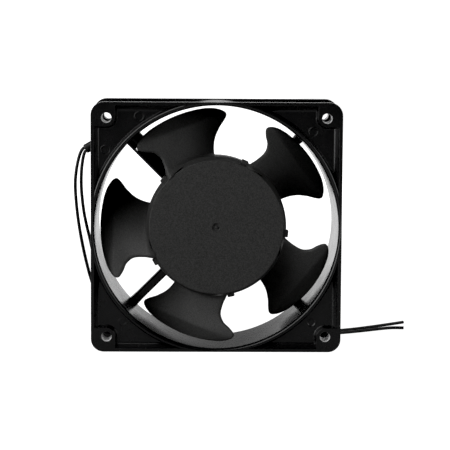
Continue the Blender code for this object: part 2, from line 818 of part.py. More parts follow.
def make_lead_sleeve(material, datum):
    """Flat sleeving over both leads where they leave the strut and the frame."""
    frames = sweep_frames(SLEEVE_ROUTE, 13)
    outer = [oval(*frame, SLEEVE_TALL, SLEEVE_THICK) for frame in frames]
    bore = (SLEEVE_TALL - 2 * SLEEVE_WALL, SLEEVE_THICK - 2 * SLEEVE_WALL)
    inner = [oval(*frame, *bore) for frame in frames]
    bm = bmesh.new()
    skin(bm, outer + inner[::-1], closed=True)
    add_object("lead_sleeve", bm, material, datum)


def make_inner_leads(material, datum):
    """The held stretch of each lead from its coil, along the channel, to the side of the frame."""
    frames = sweep_frames(INNER_ROUTE + SLEEVE_ROUTE[1:-1], 22)
    for name, sign in (("inner_lead_a", -1), ("inner_lead_b", 1)):
        bm = bmesh.new()
        rings = []
        for place, tall, thick in frames:
            middle = place + tall * (sign * WIRE_SPREAD * MM)
            rings.append(oval(middle, tall, thick, WIRE_DIAMETER, WIRE_DIAMETER, 8))
        skin(bm, rings)
        add_object(name, bm, material, datum)


def make_free_lead(name, route, material):
    curve = bpy.data.curves.new(name, "CURVE")
    curve.dimensions = "3D"
    curve.bevel_depth = WIRE_DIAMETER / 2 * MM
    curve.bevel_resolution = 2
    curve.use_fill_caps = True
    curve.materials.append(material)
    points = smooth_route(route, LEAD_POINTS)
    spline = curve.splines.new("POLY")
    spline.points.add(len(points) - 1)
    for target, place in zip(spline.points, points):
        place.z = max(place.z, WIRE_REST)
        target.co = (*(place * MM), 1.0)
    obj = bpy.data.objects.new(name, curve)
    bpy.context.collection.objects.link(obj)


def main():
    clear_scene()
    stator = make_datum("stator_datum")
    rotor = make_datum("rotor_axis")
    front_balls = make_datum("front_ball_axis")
    rear_balls = make_datum("rear_ball_axis")

    black_paint = make_material("black_paint", (0.012, 0.012, 0.013), 0.35)
    black_plastic = make_material("black_plastic", (0.02, 0.02, 0.021), 0.55)
    black_vinyl = make_material("black_vinyl", (0.01, 0.01, 0.01), 0.45)
    white_plastic = make_material("white_plastic", (0.75, 0.74, 0.7), 0.5)
    steel = make_material("steel", (0.55, 0.55, 0.56), 0.3, 1.0)
    laminated = make_material("laminated_steel", (0.3, 0.3, 0.31), 0.5, 1.0)
    aluminium = make_material("aluminium", (0.72, 0.72, 0.73), 0.4, 1.0)
    brass = make_material("brass", (0.7, 0.52, 0.22), 0.35, 1.0)
    copper = make_material("copper", (0.62, 0.27, 0.12), 0.35, 1.0)
    paper = make_material("label", (0.62, 0.63, 0.64), 0.4)

    make_frame_casting(black_paint, stator)
    make_bearing_tube(brass, stator)
    make_stator_core(laminated, stator)
    make_pole_pieces(white_plastic, copper, stator)
    make_wave_washer(steel, stator)
    make_rear_trim(black_plastic, paper, stator)
    make_lead_sleeve(black_vinyl, stator)
    make_inner_leads(black_vinyl, stator)
    for name, route in LEAD_ROUTES.items():
        make_free_lead(name, route, black_vinyl)

    make_impeller(black_plastic, rotor)
    make_rotor(steel, laminated, aluminium, rotor)
    make_bearings(steel, stator, rotor, front_balls, rear_balls)


main()
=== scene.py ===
import math

import bmesh
import bpy
from mathutils import Matrix, Vector


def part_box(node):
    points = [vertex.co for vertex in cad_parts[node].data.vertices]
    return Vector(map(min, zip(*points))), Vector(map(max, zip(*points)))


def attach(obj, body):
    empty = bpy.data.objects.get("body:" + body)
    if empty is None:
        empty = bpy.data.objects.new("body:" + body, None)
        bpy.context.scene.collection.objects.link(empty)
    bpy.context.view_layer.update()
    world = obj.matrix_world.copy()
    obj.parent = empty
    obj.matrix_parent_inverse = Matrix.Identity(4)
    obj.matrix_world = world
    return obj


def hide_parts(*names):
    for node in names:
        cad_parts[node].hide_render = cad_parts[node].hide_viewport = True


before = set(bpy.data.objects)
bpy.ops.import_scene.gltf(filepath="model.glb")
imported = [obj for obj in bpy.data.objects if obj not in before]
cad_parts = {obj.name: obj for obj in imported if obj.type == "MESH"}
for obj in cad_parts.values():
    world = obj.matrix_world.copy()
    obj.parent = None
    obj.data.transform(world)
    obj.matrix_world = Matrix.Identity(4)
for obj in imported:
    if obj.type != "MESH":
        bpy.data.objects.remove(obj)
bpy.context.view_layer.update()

MM = 0.001

# Sizes are in millimetres, and the main ones are the CAD's. The casting's box gives the side, the
# depth and the place of the fan axis. A depth is measured from the front face to the rear.
CASTING_LOW, CASTING_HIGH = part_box("frame_casting")
SIDE = (CASTING_HIGH.x - CASTING_LOW.x) / MM
DEPTH = (CASTING_HIGH.y - CASTING_LOW.y) / MM
AXIS = (CASTING_LOW + CASTING_HIGH) / 2
FLANGE = 4.5
CORNER_RADIUS = 6.2
CORNER_STEPS = 12
EDGE_ROUND = 0.25
EDGE_STEPS = 4
SHARP_ANGLE = 32.0
NORMAL_WEIGHT = 100
CUT_PAST = 1.0

# The screw holes, the radius and depth into each of their mouths, and the bosses behind them.
CORNERS = [(x, z) for x in (-1, 1) for z in (-1, 1)]
HOLE_PITCH = 105.0
HOLE_RADIUS = 2.25
HOLE_STEPS = 48
HOLE_MOUTH = 2.47
HOLE_MOUTH_PROFILE = (
    (3.1, -0.8),
    (2.60, -0.02),
    (2.52, 0.05),
    (2.45, 0.15),
    (2.38, 1.5),
    (HOLE_RADIUS, 8.0),
)
HOLES = [(x * HOLE_PITCH / 2, z * HOLE_PITCH / 2) for x, z in CORNERS]
SCREW_BOSS_RADIUS = 4.2
SCREW_BOSS_DEPTH = 11.0
SCREW_BOSS_CHAMFER = 0.4

# The duct, with the width and depth of its round-nosed mouth.
DUCT_OUTER = 59.7
DUCT_STEPS = 192
BARREL_INSET = 1.2
BORE_FRONT = 58.4
BORE_REAR = 57.5
MOUTH_WIDTH = 1.5
MOUTH_LENGTH = 2.0
MOUTH_STEPS = 10
REAR_ROUND = 0.6

# The pockets in the flanges: depth, rim width, pad radius and lip radius down their sides.
POCKET_DEPTH = 2.5
POCKET_SIDE = (
    (-1.0, 1.40, 4.00, 59.90),
    (-0.02, 1.50, 4.04, 59.95),
    (0.05, 1.62, 4.14, 60.22),
    (0.18, 1.74, 4.25, 60.50),
    (0.42, 1.84, 4.36, 60.78),
    (0.80, 2.16, 4.50, 61.02),
    (1.40, 2.76, 4.70, 61.20),
    (2.05, 3.42, 4.92, 61.30),
    (2.24, 3.66, 5.02, 61.34),
    (2.38, 3.92, 5.14, 61.40),
    (2.47, 4.20, 5.30, 61.52),
    (2.50, 4.50, 5.50, 61.70),
)
PAD_STEPS = 20
LIP_STEPS = 40

# Ejector pin marks: right of the axis, above it, the ring's radius and how far it stands up.
EJECTOR_MARKS = (
    (-37.0, 53.0, 2.2, 0.26),
    (-53.0, 37.0, 2.2, 0.26),
    (46.0, 46.0, 2.1, 0.26),
    (-45.0, -45.8, 1.75, 0.10),
    (46.0, -46.0, 1.85, 0.18),
)
FLASH_SINK = 0.05
FLASH_FOOT = 0.4
FLASH_ARC = (190, 350)
FLASH_STEPS = 8
RECESS_ABOVE = 0.5
RECESS_EDGE = 0.05
RECESS_TAPER = 0.2

# The struts, with the distance from the axis and the width along a plain one.
STRUT_FRONT = 31.5
STRUT_REAR = DEPTH - 0.15
STRUT_ANGLES = (45, 225, 315)
STRUT_WIDTHS = ((31.6, 5.2), (34.0, 4.6), (37.0, 4.3), (53.0, 4.3), (56.5, 4.7), (58.6, 5.4))
STRUT_ROUND = 0.9
BAR_STEPS = 5
LEAD_STRUT_WIDTH = 8.4
LEAD_STRUT_ANGLE = 135.0
LEAD_STRUT_REACHES = (31.6, 58.6)
LEAD_STRUT_ROUND = 0.7
CHANNEL_WIDTH = 6.0
CHANNEL_FRONT = 28.6
CHANNEL_FLOOR = 36.0
CHANNEL_REACHES = (29.5, 60.6)
CHANNEL_ROUND = 0.6
DRAIN_INNER = 51.5
DRAIN_OUTER = 52.7
DRAIN_WIDTH = 2.6
DRAIN_SHIFT = 1.7
DRAIN_ROUND = 0.3

# The motor mount: radius and depth round its section, from its front edge over the outside.
MOUNT_RADIUS = 32.5
MOUNT_FRONT = 30.5
MOUNT_STEPS = 144
MOUNT_PROFILE = (
    (32.1, MOUNT_FRONT),
    (32.36, MOUNT_FRONT + 0.1),
    (MOUNT_RADIUS, MOUNT_FRONT + 0.4),
    (MOUNT_RADIUS, DEPTH - 0.5),
    (32.36, DEPTH - 0.14),
    (32.0, DEPTH),
    (28.9, DEPTH),
    (28.65, DEPTH - 0.1),
    (28.6, DEPTH - 0.3),
    (28.6, DEPTH - 0.8),
    (6.5, DEPTH - 0.8),
    (6.5, 35.6),
    (9.15, 35.6),
    (9.15, 31.0),
    (12.0, 31.0),
    (12.3, 35.0),
    (12.6, 35.2),
    (30.6, 35.2),
    (30.9, 35.0),
    (31.0, 34.6),
    (31.0, MOUNT_FRONT + 0.4),
    (31.14, MOUNT_FRONT + 0.1),
    (31.4, MOUNT_FRONT),
)

# The hub: radius and depth from its centre mark over the face, shoulder and skirt to the inside.
HUB_FACE_RADIUS = 32.3
HUB_FRONT = 3.0
HUB_STEP = 4.8
SKIRT_RADIUS = 33.8
SKIRT_REAR_RADIUS = 32.9
HUB_REAR = 27.5
HUB_INNER = 31.3
HUB_PLATE = 5.0
HUB_STEPS = 180
HUB_PROFILE = (
    (0.35, 3.12),
    (0.58, 3.16),
    (0.66, 3.3),
    (0.7, 3.86),
    (0.8, 3.95),
    (1.75, 3.95),
    (1.9, 3.85),
    (1.96, 3.2),
    (2.06, 3.04),
    (2.25, HUB_FRONT),
    (HUB_FACE_RADIUS - 0.42, HUB_FRONT),
    (HUB_FACE_RADIUS - 0.22, HUB_FRONT + 0.05),
    (HUB_FACE_RADIUS - 0.06, HUB_FRONT + 0.2),
    (HUB_FACE_RADIUS, HUB_FRONT + 0.45),
    (HUB_FACE_RADIUS + 0.06, HUB_STEP - 0.9),
    (HUB_FACE_RADIUS + 0.22, HUB_STEP),
    (SKIRT_RADIUS - 0.7, HUB_STEP + 1.5),
    (SKIRT_RADIUS - 0.2, HUB_STEP + 2.6),
    (SKIRT_RADIUS, HUB_STEP + 3.8),
    (SKIRT_REAR_RADIUS, HUB_REAR - 0.3),
    (SKIRT_REAR_RADIUS - 0.12, HUB_REAR - 0.08),
    (SKIRT_REAR_RADIUS - 0.35, HUB_REAR),
    (HUB_INNER, HUB_REAR),
    (HUB_INNER, HUB_PLATE),
    (2.0, HUB_PLATE),
)

# The blades. Their pitch is the depth gained for each degree. Each row of the edges is a radius
# and the angles of the leading and trailing edge there, in degrees.
BLADES = 5
BLADE_PITCH = 0.53
BLADE_LEAD = -1.2
BLADE_CAMBER = 2.0
CAMBER_LEAN = 1.3
TIP_CREASE = 49.6
TIP_BEND = 0.34
TIP_ANGLE = 35
ROOT_THICKNESS = 2.2
TIP_THICKNESS = 1.5
BLADE_EDGES = (
    (32.2, 8.4, 52.0),
    (35.0, 10.7, 52.0),
    (37.0, 12.5, 52.1),
    (39.0, 13.7, 52.4),
    (41.0, 14.6, 53.0),
    (43.0, 14.9, 53.9),
    (45.0, 14.3, 55.1),
    (47.0, 13.1, 56.3),
    (49.0, 10.8, 57.8),
    (51.0, 9.2, 59.0),
    (52.6, 8.5, 59.5),
    (53.8, 8.9, 59.0),
    (54.8, 10.3, 57.2),
    (55.6, 12.8, 54.4),
    (56.0, 15.4, 51.6),
    (56.15, 18.4, 49.0),
)
BLADE_ROWS = 40
TIP_CROWDING = 1.35
CHORD_SHARES = (0.0, 0.006, 0.02, 0.045, *(0.09 + 0.82 * i / 21 for i in range(22)), 0.955, 0.98, 0.994, 1.0)
FILLET = 1.3
FILLET_INSIDE = 33.0
FILLET_START = 33.4
FILLET_FADE = 0.55
IMPELLER_SHARP_ANGLE = 38

# The tabs on the skirt: distance from the axis, width and what is cut off the front and rear.
TAB_ANGLE = 5.6
TAB_WIDTH = 3.4
TAB_RADIUS = 34.8
TAB_FRONT = 6.0
TAB_REAR = 10.0
TAB_ROUND = 0.35
TAB_SECTIONS = ((32.4, TAB_WIDTH, 0), (34.5, TAB_WIDTH, 0), (TAB_RADIUS, TAB_WIDTH - 0.5, 0.25))

# The leads and their sleeve. The sleeve's route is right of the axis, behind the front face and
# above the axis. The leads' routes are in the frame's own x, y and z.
WIRE_DIAMETER = 1.6
WIRE_REST = 0.82
WIRE_RESOLUTION = 5
LEAD_POINTS = 240
ROUTE_STEPS = 20
SLEEVE_TALL = 4.6
SLEEVE_THICK = 3.0
SLEEVE_WALL = 0.42
SLEEVE_LIP = 0.12
SLEEVE_RINGS = 48
OVAL_STEPS = 32
SLEEVE_ROUTE = (
    (-36.9, 33.5, 36.9),
    (-40.3, 33.0, 40.2),
    (-43.6, 31.4, 42.6),
    (-48.0, 30.2, 43.0),
    (-53.0, 30.0, 41.2),
    (-58.8, 30.0, 38.2),
    (-64.0, 30.0, 35.3),
)
LEAD_ROUTES = {
    "lead_wire_a": (
        (-59.5, 11.0, 98.8), (-61.86, 11.0, 97.49), (-64.75, 11.0, 95.85),
        (-66.2, 11.2, 94.0), (-67.4, 11.6, 90.4), (-68.4, 12.0, 85.6),
        (-69.0, 12.6, 80.4), (-69.1, 13.2, 75.6), (-68.7, 14.2, 68.4), (-67.9, 15.4, 60.4),
        (-66.8, 16.8, 52.6), (-65.3, 18.4, 44.2), (-63.6, 20.2, 36.2), (-61.8, 22.2, 29.0),
        (-58.5, 24.3, 19.5), (-53.5, 25.6, 11.0), (-46.5, 26.5, 4.8), (-38.0, 26.8, 1.5),
        (-28.0, 26.4, WIRE_REST), (-14.0, 25.0, WIRE_REST), (0.0, 23.6, WIRE_REST),
        (20.0, 25.2, WIRE_REST), (40.0, 30.0, WIRE_REST), (52.0, 34.2, WIRE_REST),
        (64.7, 40.2, WIRE_REST), (75.0, 46.6, WIRE_REST), (87.8, 56.6, WIRE_REST),
        (99.2, 66.4, WIRE_REST),
    ),
    "lead_wire_b": (
        (-58.72, 11.0, 97.28), (-61.02, 11.0, 95.99), (-63.9, 11.0, 94.35),
        (-64.9, 11.4, 92.0), (-65.6, 11.8, 88.2), (-66.0, 12.2, 84.4),
        (-66.2, 12.8, 79.6), (-66.1, 13.6, 74.8), (-65.6, 14.6, 68.6), (-64.8, 15.8, 62.4),
        (-63.6, 17.4, 56.0), (-62.3, 19.4, 50.0), (-60.7, 21.2, 42.0), (-58.2, 22.4, 32.0),
        (-55.0, 23.1, 22.5), (-50.0, 23.6, 13.5), (-43.0, 23.7, 6.2), (-35.0, 23.5, 2.2),
        (-26.0, 23.1, WIRE_REST), (-13.0, 22.1, WIRE_REST), (0.0, 21.5, WIRE_REST),
        (20.0, 22.4, WIRE_REST), (40.0, 25.5, WIRE_REST), (52.0, 28.5, WIRE_REST),
        (64.2, 32.9, WIRE_REST), (74.3, 38.3, WIRE_REST), (86.9, 46.4, WIRE_REST),
        (92.3, 48.6, WIRE_REST), (97.7, 48.4, WIRE_REST),
    ),
}

# The camera and the studio, in metres. Each light is a name, a place, a size and a power.
SENSOR_WIDTH = 36.0
LENS = 157.7
CLIP_END = 50.0
CAMERA_PLACE = (-0.0118, -0.95393, 0.16825)
CAMERA_RIGHT = (0.99985, -0.01637, 0.00568)
CAMERA_UP = (-0.00378, 0.11348, 0.99353)
LIGHT_TARGET = (0.0, 0.0, 0.06)
LIGHTS = (
    ("left_softbox", (-0.80, -0.60, 0.34), (0.6, 0.7), 5.2),
    ("top_softbox", (-0.42, -0.60, 0.80), (0.6, 0.5), 2.8),
    ("right_softbox", (0.85, -0.50, 0.30), (0.5, 0.5), 1.8),
    ("side_fill", (1.10, 0.25, 0.40), (0.5, 0.5), 1.0),
    ("rear_fill", (0.30, 0.80, 0.90), (0.6, 0.5), 1.6),
)
WHITE = (1.0, 1.0, 1.0, 1.0)
FLOOR_COLOR = (0.48, 0.48, 0.48, 1.0)
FLOOR_ROUGHNESS = 0.9
FLOOR_HALF_SIDE = 6.0
BLACK_LEVEL = (0.0034, 0.0034, 0.0034)

# Fades of brightness: where each starts and ends, and its value at both. Those of the world run
# over a component of the direction, and those of the floor over a distance.
WORLD_BEHIND = (0.25, 0.8, 0.0, 1.2)
WORLD_LOW = (0.05, 0.22, 1.0, 0.04)
WORLD_RIGHTWARD = (0.35, 0.65, 1.0, 0.02)
WORLD_FRONT = (-0.7, 0.2, 0.004, 0.06)
WORLD_LEFT = (-0.99, -0.80, 0.5, 0.0)
FLOOR_BEHIND = (0.10, 0.60, 0.0, 1.4)
FLOOR_RIGHTWARD = (0.10, 0.35, 1.0, 0.02)

# Noise goes from a surface's low finish to its high one between these values.
NOISE_SPAN = (0.3, 0.7)
PATCH_DETAIL = 4.0
PATCH_ROUGHNESS = 0.6
GRAIN_DETAIL = 2.0
GRAIN_ROUGHNESS = 0.5


# ---------------------------------------------------------------- geometry helpers


def point(x, depth, z):
    """A place right of the fan axis, behind the front face and above the axis."""
    return Vector((AXIS.x + x * MM, AXIS.y + (depth - DEPTH / 2) * MM, AXIS.z + z * MM))


def shade(mesh, sharp_angle):
    mesh.shade_smooth()
    mesh.set_sharp_from_angle(angle=math.radians(sharp_angle))


def add_object(name, bm, materials):
    mesh = bpy.data.meshes.new(name)
    bm.to_mesh(mesh)
    bm.free()
    shade(mesh, SHARP_ANGLE)
    for material in materials:
        mesh.materials.append(material)
    obj = bpy.data.objects.new(name, mesh)
    bpy.context.collection.objects.link(obj)
    return obj


def wrap(bm, low, high):
    """Joins two rings of vertices with quads."""
    faces = []
    for i in range(len(low)):
        j = (i + 1) % len(low)
        faces.append(bm.faces.new((low[i], low[j], high[j], high[i])))
    return faces


def skin(bm, rings, closed=False):
    """Joins a row of rings with quads, and caps the two ends of a row that isn't closed."""
    rows = [[bm.verts.new(place) for place in ring] for ring in rings]
    pairs = list(zip(rows, rows[1:]))
    faces = []
    if closed:
        pairs.append((rows[-1], rows[0]))
    else:
        faces += [bm.faces.new(rows[0]), bm.faces.new(rows[-1])]
    for low, high in pairs:
        faces += wrap(bm, low, high)
    bmesh.ops.recalc_face_normals(bm, faces=faces)


def circle(radius, depth, steps, center=(0.0, 0.0)):
    turns = [2 * math.pi * i / steps for i in range(steps)]
    return [point(center[0] + radius * math.cos(a), depth, center[1] + radius * math.sin(a)) for a in turns]


def turn(bm, profile, steps, closed=True, center=(0.0, 0.0)):
    skin(bm, [circle(radius, depth, steps, center) for radius, depth in profile], closed)


def arc(center, radius, start, end, steps):
    angles = [math.radians(start + (end - start) * i / steps) for i in range(steps + 1)]
    return [(center[0] + radius * math.cos(a), center[1] + radius * math.sin(a)) for a in angles]


def rounded_rectangle(width, height, radius, steps):
    x, z = width / 2 - radius, height / 2 - radius
    corners = ((x, z, 0), (-x, z, 90), (-x, -z, 180), (x, -z, 270))
    return [p for cx, cz, start in corners for p in arc((cx, cz), radius, start, start + 90, steps)]


def boolean(obj, bm, operation):
    """Joins or cuts a helper shape, and removes the helper once the result is kept."""
    tool = add_object("tool", bm, [])
    modifier = obj.modifiers.new("tool", "BOOLEAN")
    modifier.operation = operation
    modifier.solver = "EXACT"
    modifier.object = tool
    graph = bpy.context.evaluated_depsgraph_get()
    mesh = bpy.data.meshes.new_from_object(obj.evaluated_get(graph))
    obj.modifiers.clear()
    old, obj.data = obj.data, mesh
    bpy.data.meshes.remove(old)
    bpy.data.objects.remove(tool, do_unlink=True)


def finish_solid(obj, materials, sharp_angle):
    """Shades a solid after its last cut and gives it its materials."""
    mesh = obj.data
    shade(mesh, sharp_angle)
    mesh.materials.clear()
    for material in materials:
        mesh.materials.append(material)
    modifier = obj.modifiers.new("weighted_normals", "WEIGHTED_NORMAL")
    modifier.keep_sharp = True
    modifier.weight = NORMAL_WEIGHT


def round_over(radius, steps):
    """(depth, inset) of a rounded edge, from the face to the side."""
    turns = [math.radians(90 * i / steps) for i in range(steps + 1)]
    return [(radius * (1 - math.sin(a)), radius * (1 - math.cos(a))) for a in reversed(turns)]


def catmull_rom(a, b, c, d, t):
    """A place at the share t of the way from b to c, on the smooth curve that also passes a and d."""
    slope = c - a
    bend = 2 * a - 5 * b + 4 * c - d
    twist = 3 * b - a - 3 * c + d
    return 0.5 * (2 * b + slope * t + bend * t**2 + twist * t**3)


def smooth_route(route, count):
    """Evenly spaced points on a Catmull-Rom curve through the route."""
    knots = [Vector(p) for p in route]
    knots = [2 * knots[0] - knots[1], *knots, 2 * knots[-1] - knots[-2]]
    fine = []
    for a, b, c, d in zip(knots, knots[1:], knots[2:], knots[3:]):
        fine += [catmull_rom(a, b, c, d, i / ROUTE_STEPS) for i in range(ROUTE_STEPS)]
    fine.append(knots[-2])
    reached = [0.0]
    for a, b in zip(fine, fine[1:]):
        reached.append(reached[-1] + (b - a).length)
    points, j = [], 0
    for i in range(count):
        wanted = reached[-1] * i / (count - 1)
        while j < len(fine) - 2 and reached[j + 1] < wanted:
            j += 1
        share = (wanted - reached[j]) / (reached[j + 1] - reached[j])
        points.append(fine[j].lerp(fine[j + 1], share))
    return points


def between(table, at):
    """Smooth value of a table of rows (at, values...) at a place inside it."""
    i = max(0, min(len(table) - 2, sum(row[0] <= at for row in table) - 1))
    rows = [table[max(0, min(len(table) - 1, i + k))] for k in (-1, 0, 1, 2)]
    span = rows[2][0] - rows[1][0]
    t = (at - rows[1][0]) / span
    values = []
    for column in range(1, len(table[0])):
        p0, p1, p2, p3 = (row[column] for row in rows)
        m1 = (p2 - p0) / (rows[2][0] - rows[0][0]) * span
        m2 = (p3 - p1) / (rows[3][0] - rows[1][0]) * span
        value = (2 * t**3 - 3 * t**2 + 1) * p1
        value += (t**3 - 2 * t**2 + t) * m1
        value += (3 * t**2 - 2 * t**3) * p2
        value += (t**3 - t**2) * m2
        values.append(value)
    return values


# ---------------------------------------------------------------- materials


def noise(tree, coords, size_mm, detail, roughness):
    made = tree.nodes.new("ShaderNodeTexNoise")
    made.inputs["Scale"].default_value = 1 / (size_mm * MM)
    made.inputs["Detail"].default_value = detail
    made.inputs["Roughness"].default_value = roughness
    tree.links.new(coords, made.inputs["Vector"])
    return made.outputs["Fac"]


def fade(tree, value, start, end, low, high, smooth=True):
    """Goes from low to high while the value goes from start to end."""
    made = tree.nodes.new("ShaderNodeMapRange")
    if smooth:
        made.interpolation_type = "SMOOTHSTEP"
    made.inputs["From Min"].default_value = start
    made.inputs["From Max"].default_value = end
    made.inputs["To Min"].default_value = low
    made.inputs["To Max"].default_value = high
    tree.links.new(value, made.inputs["Value"])
    return made.outputs["Result"]


def blend_colors(tree, factor, low, high):
    made = tree.nodes.new("ShaderNodeValToRGB")
    first, last = made.color_ramp.elements
    first.position, last.position = NOISE_SPAN
    first.color = (*low, 1.0)
    last.color = (*high, 1.0)
    tree.links.new(factor, made.inputs["Fac"])
    return made.outputs["Color"]


def bump(tree, shader, height, distance_mm):
    made = tree.nodes.new("ShaderNodeBump")
    made.inputs["Strength"].default_value = 1.0
    made.inputs["Distance"].default_value = distance_mm * MM
    tree.links.new(height, made.inputs["Height"])
    tree.links.new(made.outputs["Normal"], shader.inputs["Normal"])


def surface(name, low, high, rough, grain_mm, grain_depth, patch_mm, metallic=0.0, specular=0.5):
    """A procedural surface: a fine grain in colour and relief, and a gloss that varies in patches."""
    material = bpy.data.materials.new(name)
    material.use_nodes = True
    tree = material.node_tree
    shader = tree.nodes["Principled BSDF"]
    shader.inputs["Metallic"].default_value = metallic
    shader.inputs["Specular IOR Level"].default_value = specular
    coords = tree.nodes.new("ShaderNodeTexCoord").outputs["Object"]
    patches = noise(tree, coords, patch_mm, PATCH_DETAIL, PATCH_ROUGHNESS)
    fine = noise(tree, coords, grain_mm, GRAIN_DETAIL, GRAIN_ROUGHNESS)
    tree.links.new(blend_colors(tree, fine, low, high), shader.inputs["Base Color"])
    tree.links.new(fade(tree, patches, *NOISE_SPAN, *rough, smooth=False), shader.inputs["Roughness"])
    bump(tree, shader, fine, grain_depth)
    return material


def make_materials():
    made = {}
    made["paint"] = surface(
        "black_paint", low=(0.0016, 0.0016, 0.0018), high=(0.0055, 0.0055, 0.0057),
        rough=(0.23, 0.29), grain_mm=0.8, grain_depth=0.0002, patch_mm=9.0,
    )
    made["plastic"] = surface(
        "impeller_plastic", low=(0.018, 0.018, 0.0175), high=(0.047, 0.047, 0.046),
        rough=(0.50, 0.60), grain_mm=0.45, grain_depth=0.02, patch_mm=11.0, specular=0.35,
    )
    made["vinyl"] = surface(
        "black_vinyl", low=(0.002, 0.002, 0.002), high=(0.005, 0.005, 0.005),
        rough=(0.34, 0.46), grain_mm=0.35, grain_depth=0.002, patch_mm=5.0, specular=0.3,
    )
    made["bare"] = surface(
        "bare_aluminium", low=(0.86, 0.86, 0.86), high=(0.96, 0.96, 0.96),
        rough=(0.55, 0.75), grain_mm=0.25, grain_depth=0.004, patch_mm=2.0, metallic=0.7,
    )
    made["steel"] = surface(
        "steel", low=(0.46, 0.46, 0.47), high=(0.62, 0.62, 0.63),
        rough=(0.18, 0.34), grain_mm=0.4, grain_depth=0.003, patch_mm=5.0, metallic=1.0,
    )
    made["laminated"] = surface(
        "laminated", low=(0.20, 0.20, 0.21), high=(0.34, 0.34, 0.35),
        rough=(0.4, 0.6), grain_mm=0.5, grain_depth=0.01, patch_mm=6.0, metallic=1.0,
    )
    made["aluminium"] = surface(
        "cast_aluminium", low=(0.6, 0.6, 0.61), high=(0.74, 0.74, 0.75),
        rough=(0.32, 0.5), grain_mm=0.4, grain_depth=0.01, patch_mm=4.0, metallic=1.0,
    )
    made["brass"] = surface(
        "brass", low=(0.62, 0.43, 0.17), high=(0.76, 0.57, 0.27),
        rough=(0.2, 0.4), grain_mm=0.4, grain_depth=0.003, patch_mm=5.0, metallic=1.0,
    )
    made["copper"] = surface(
        "copper", low=(0.52, 0.18, 0.07), high=(0.7, 0.3, 0.13),
        rough=(0.2, 0.35), grain_mm=0.4, grain_depth=0.02, patch_mm=3.0, metallic=1.0,
    )
    made["nylon"] = surface(
        "white_nylon", low=(0.68, 0.67, 0.62), high=(0.76, 0.75, 0.71),
        rough=(0.35, 0.5), grain_mm=0.4, grain_depth=0.006, patch_mm=6.0,
    )
    made["label"] = surface(
        "label_film", low=(0.5, 0.51, 0.52), high=(0.56, 0.57, 0.58),
        rough=(0.3, 0.42), grain_mm=0.5, grain_depth=0.003, patch_mm=12.0,
    )
    return made


# ---------------------------------------------------------------- camera, light and floor


def make_camera():
    data = bpy.data.cameras.new("camera")
    data.sensor_width = SENSOR_WIDTH
    data.lens = LENS
    data.clip_end = CLIP_END
    camera = bpy.data.objects.new("camera", data)
    bpy.context.collection.objects.link(camera)
    right = Vector(CAMERA_RIGHT)
    back = right.cross(Vector(CAMERA_UP)).normalized()
    up = back.cross(right).normalized()
    turned = Matrix((right, up, back)).transposed().to_4x4()
    camera.matrix_world = Matrix.Translation(CAMERA_PLACE) @ turned
    bpy.context.scene.camera = camera


def area_light(name, place, size, power):
    data = bpy.data.lights.new(name, "AREA")
    data.shape = "RECTANGLE"
    data.size, data.size_y = size
    data.energy = power
    light = bpy.data.objects.new(name, data)
    bpy.context.collection.objects.link(light)
    light.location = place
    light.rotation_euler = (Vector(LIGHT_TARGET) - Vector(place)).to_track_quat("-Z", "Y").to_euler()


def combine(tree, operation, a, b):
    made = tree.nodes.new("ShaderNodeMath")
    made.operation = operation
    tree.links.new(a, made.inputs[0])
    tree.links.new(b, made.inputs[1])
    return made.outputs["Value"]


def make_world():
    """White for the camera. The fan reflects a bright band low behind it, and dim walls elsewhere."""
    world = bpy.data.worlds.new("studio")
    bpy.context.scene.world = world
    world.use_nodes = True
    tree = world.node_tree
    direction = tree.nodes.new("ShaderNodeSeparateXYZ")
    tree.links.new(tree.nodes.new("ShaderNodeTexCoord").outputs["Generated"], direction.inputs["Vector"])
    behind = fade(tree, direction.outputs["Y"], *WORLD_BEHIND)
    low = fade(tree, direction.outputs["Z"], *WORLD_LOW)
    rightward = fade(tree, direction.outputs["X"], *WORLD_RIGHTWARD)
    low = combine(tree, "MULTIPLY", low, rightward)
    front = fade(tree, direction.outputs["Y"], *WORLD_FRONT)
    left = fade(tree, direction.outputs["X"], *WORLD_LEFT)
    band = combine(tree, "MULTIPLY", behind, low)
    studio = combine(tree, "ADD", band, combine(tree, "ADD", front, left))
    camera_ray = tree.nodes.new("ShaderNodeLightPath").outputs["Is Camera Ray"]
    strength = combine(tree, "MAXIMUM", studio, camera_ray)
    background = tree.nodes["Background"]
    background.inputs["Color"].default_value = WHITE
    tree.links.new(strength, background.inputs["Strength"])


def make_floor():
    """A pale floor, white for the camera, which glows behind the fan for its reflections."""
    bm = bmesh.new()
    bmesh.ops.create_grid(bm, x_segments=4, y_segments=4, size=FLOOR_HALF_SIDE)
    material = bpy.data.materials.new("pale_floor")
    material.use_nodes = True
    tree = material.node_tree
    shader = tree.nodes["Principled BSDF"]
    shader.inputs["Base Color"].default_value = FLOOR_COLOR
    shader.inputs["Roughness"].default_value = FLOOR_ROUGHNESS
    shader.inputs["Emission Color"].default_value = WHITE
    place = tree.nodes.new("ShaderNodeSeparateXYZ")
    tree.links.new(tree.nodes.new("ShaderNodeTexCoord").outputs["Object"], place.inputs["Vector"])
    behind = fade(tree, place.outputs["Y"], *FLOOR_BEHIND)
    rightward = fade(tree, place.outputs["X"], *FLOOR_RIGHTWARD)
    glow = combine(tree, "MULTIPLY", behind, rightward)
    camera_ray = tree.nodes.new("ShaderNodeLightPath").outputs["Is Camera Ray"]
    tree.links.new(combine(tree, "MAXIMUM", glow, camera_ray), shader.inputs["Emission Strength"])
    add_object("floor", bm, [material])


